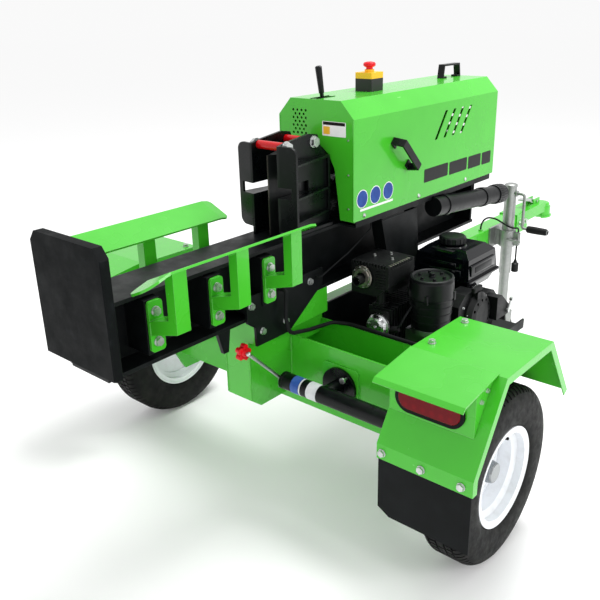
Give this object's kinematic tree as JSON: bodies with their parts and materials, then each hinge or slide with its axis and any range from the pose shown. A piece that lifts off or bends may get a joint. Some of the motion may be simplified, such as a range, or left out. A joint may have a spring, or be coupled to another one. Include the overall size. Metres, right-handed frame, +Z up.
{
  "type": "log splitter",
  "caption": "Towable kinetic log splitter: beam with wedge and end plate, hooded flywheel drive, petrol engine, two road wheels with fenders and lights, hitch and jacks.",
  "frame": {"origin": "under the middle of the machine's overall length and width, on the ground", "axes": "+Y to the hitch, +X to the right-hand side, +Z up"},
  "size_m": [1.564, 2.579, 1.2683],
  "materials": {
    "green_paint": "gloss powder coat",
    "green_coupler": "gloss powder coat",
    "beam_paint": "satin black paint",
    "plate_paint": "satin black paint",
    "gusset_paint": "satin black paint",
    "stripper_paint": "gloss black paint",
    "tray_paint": "satin black paint",
    "rim_paint": "gloss white enamel",
    "tyre_rubber": "moulded tread rubber",
    "flap_rubber": "smooth sheet rubber",
    "loom_rubber": "matt sleeve",
    "grommet_rubber": "moulded ring",
    "belt_rubber": "matt belt",
    "jockey_rubber": "solid tyre",
    "lens_red": "moulded lens",
    "sleeve_red": "gloss red",
    "button_red": "moulded",
    "knob_red": "moulded",
    "housing_black": "moulded",
    "plug_black": "moulded",
    "lever_black": "satin black",
    "blade_steel": "black with a bare ground edge",
    "ram_steel": "machined and oiled",
    "shaft_steel": "turned",
    "flywheel_iron": "machined rim",
    "zinc_bolts": "bright zinc plate",
    "zinc_jack": "zinc plate",
    "zinc_crank": "zinc plate with black grip",
    "zinc_rod": "zinc plate",
    "jack_black": "gloss black",
    "engine_black": "black painted casting",
    "engine_shaft": "machined",
    "silver_cover": "cast",
    "muffler_black": "high-temperature black",
    "cleaner_black": "ribbed moulding",
    "carb_cast": "cast",
    "tank_black": "gloss black",
    "cap_black": "ribbed moulding",
    "shroud_black": "satin black",
    "grip_black": "moulded",
    "switch_red": "moulded",
    "throttle_zinc": "zinc plate",
    "tube_black": "moulded"
  },
  "bodies": {
    "frame": {"air_cleaner": "cleaner_black", "bearing_plates": "gusset_paint", "belt_guard": "tray_paint", "blower_housing": "shroud_black", "carburettor": "carb_cast", "coupler_body": "green_coupler", "cross_channel": "green_paint", "document_tube": "tube_black", "drive_belt": "belt_rubber", "end_plate": "plate_paint", "engine_block": "engine_black", "engine_tray": "tray_paint", "estop_housing": "housing_black", "fasteners": "zinc_bolts", "fenders": "green_paint", "fuel_tank": "tank_black", "hood": "green_paint", "hood_handles": "lever_black", "light_boxes": "green_paint", "light_grommets": "grommet_rubber", "light_lead": "loom_rubber", "light_lenses": "lens_red", "light_plug": "plug_black", "log_cradles": "green_paint", "main_beam": "beam_paint", "mud_flaps": "flap_rubber", "muffler": "muffler_black", "saddle_plates": "gusset_paint", "stripper_plates": "stripper_paint", "tie_sleeves": "sleeve_red", "tongue_jack": "zinc_jack", "tongue_tube": "green_paint", "valve_cover": "silver_cover", "wiring_loom": "loom_rubber"},
    "wheel_right": {"tyre_right": "tyre_rubber", "rim_right": "rim_paint"},
    "wheel_left": {"tyre_left": "tyre_rubber", "rim_left": "rim_paint"},
    "ram": {"wedge": "blade_steel", "ram_rack": "ram_steel"},
    "flywheel_shaft": {"pinion_shaft": "shaft_steel", "flywheels": "flywheel_iron"},
    "engine_crank": {"crankshaft": "engine_shaft"},
    "lever": {"control_lever": "lever_black"},
    "stop_button": {"estop_button": "button_red"},
    "fuel_cap": {"fuel_cap": "cap_black"},
    "recoil_grip": {"recoil_grip": "grip_black"},
    "engine_switch": {"engine_switch": "switch_red"},
    "throttle": {"throttle_lever": "throttle_zinc"},
    "coupler_latch": {"coupler_latch": "zinc_rod"},
    "jack_leg": {"jack_leg": "zinc_jack"},
    "jack_crank": {"jack_crank": "zinc_crank"},
    "jockey_fork": {"jockey_fork": "zinc_jack"},
    "jockey_wheel": {"jockey_wheel": "jockey_rubber"},
    "rear_jack": {"rear_jack_tube": "jack_black"},
    "rear_jack_leg": {"rear_jack_leg": "jack_black"},
    "rear_jack_crank": {"rear_jack_crank": "zinc_rod"},
    "star_knob": {"star_knob": "knob_red"},
    "swivel_pin": {"swivel_pin": "zinc_rod"},
    "tube_cap": {"tube_cap": "tube_black"}
  },
  "joints": [
    {"name": "wheel_right_spin", "type": "hinge", "parent": "frame", "child": "wheel_right", "pos_m": [0.653, -0.5165, 0.249], "axis": [1, 0, 0], "continuous": true},
    {"name": "wheel_left_spin", "type": "hinge", "parent": "frame", "child": "wheel_left", "pos_m": [-0.653, -0.5165, 0.249], "axis": [1, 0, 0], "continuous": true},
    {"name": "ram_stroke", "type": "slide", "parent": "frame", "child": "ram", "axis": [0, -1, 0], "range_m": [0, 0.6], "stiffness_N_per_m": 100, "springref_m": -0.1},
    {"name": "flywheel_spin", "type": "hinge", "parent": "frame", "child": "flywheel_shaft", "pos_m": [0, -0.2225, 0.985], "axis": [1, 0, 0], "continuous": true},
    {"name": "crank_spin", "type": "hinge", "parent": "frame", "child": "engine_crank", "pos_m": [0, -0.1225, 0.506], "axis": [1, 0, 0], "continuous": true},
    {"name": "lever_tilt", "type": "hinge", "parent": "frame", "child": "lever", "pos_m": [-0.008, -0.3705, 1.1], "axis": [1, 0, 0], "range_deg": [-18, 18], "stiffness_Nm_per_rad": 2},
    {"name": "stop_press", "type": "slide", "parent": "frame", "child": "stop_button", "axis": [0, 0, -1], "range_m": [0, 0.005]},
    {"name": "fuel_cap_turn", "type": "hinge", "parent": "frame", "child": "fuel_cap", "pos_m": [0.255, -0.0445, 0.712], "axis": [0, 0, 1], "range_deg": [0, 120]},
    {"name": "recoil_pull", "type": "slide", "parent": "frame", "child": "recoil_grip", "axis": [0, 0, 1], "range_m": [0, 0.3], "stiffness_N_per_m": 20, "springref_m": -0.05},
    {"name": "switch_rock", "type": "hinge", "parent": "frame", "child": "engine_switch", "pos_m": [0.412, 0.0015, 0.508], "axis": [1, 0, 0], "range_deg": [-6, 6]},
    {"name": "throttle_turn", "type": "hinge", "parent": "frame", "child": "throttle", "pos_m": [0.437, 0.0175, 0.484], "axis": [1, 0, 0], "range_deg": [-15, 20]},
    {"name": "latch_lift", "type": "hinge", "parent": "frame", "child": "coupler_latch", "pos_m": [0, 1.1495, 0.558], "axis": [1, 0, 0], "range_deg": [-35, 0]},
    {"name": "jack_crank_turn", "type": "hinge", "parent": "frame", "child": "jack_crank", "pos_m": [0.111, 0.7035, 0.696], "axis": [1, 0, 0], "range_deg": [-4250, 4100]},
    {"name": "jack_leg_slide", "type": "slide", "parent": "frame", "child": "jack_leg", "axis": [0, 0, 1], "range_m": [-0.15, 0.145]},
    {"name": "jockey_swivel", "type": "hinge", "parent": "jack_leg", "child": "jockey_fork", "pos_m": [0.095, 0.7035, 0.18], "axis": [0, 0, 1], "continuous": true},
    {"name": "jockey_spin", "type": "hinge", "parent": "jockey_fork", "child": "jockey_wheel", "pos_m": [0.095, 0.7035, 0.076], "axis": [1, 0, 0], "continuous": true},
    {"name": "rear_jack_swing", "type": "hinge", "parent": "frame", "child": "rear_jack", "pos_m": [0.238, -0.6385, 0.407], "axis": [0, 1, 0], "range_deg": [0, 90]},
    {"name": "rear_leg_slide", "type": "slide", "parent": "rear_jack", "child": "rear_jack_leg", "axis": [1, 0, 0], "range_m": [0, 0.126]},
    {"name": "rear_crank_turn", "type": "hinge", "parent": "rear_jack", "child": "rear_jack_crank", "pos_m": [0.078, -0.6905, 0.407], "axis": [1, 0, 0], "range_deg": [0, 80]},
    {"name": "star_knob_spin", "type": "hinge", "parent": "rear_jack_crank", "child": "star_knob", "pos_m": [0.056, -0.8225, 0.538], "axis": [1, 0, 0], "continuous": true},
    {"name": "swivel_pin_pull", "type": "slide", "parent": "rear_jack", "child": "swivel_pin", "axis": [0, -1, 0], "range_m": [0, 0.007], "stiffness_N_per_m": 1000, "springref_m": -0.003},
    {"name": "tube_cap_turn", "type": "hinge", "parent": "frame", "child": "tube_cap", "pos_m": [0.141, 0.5115, 0.738], "axis": [0, 0.9951, -0.0985], "continuous": true}
  ],
  "couplings": [
    {"joint": "crank_spin", "follows": "flywheel_spin", "ratio": 2.5},
    {"joint": "jack_leg_slide", "follows": "jack_crank_turn", "m_per_rad": 0.002},
    {"joint": "rear_leg_slide", "follows": "rear_jack_swing", "m_per_rad": 0.0796}
  ]
}
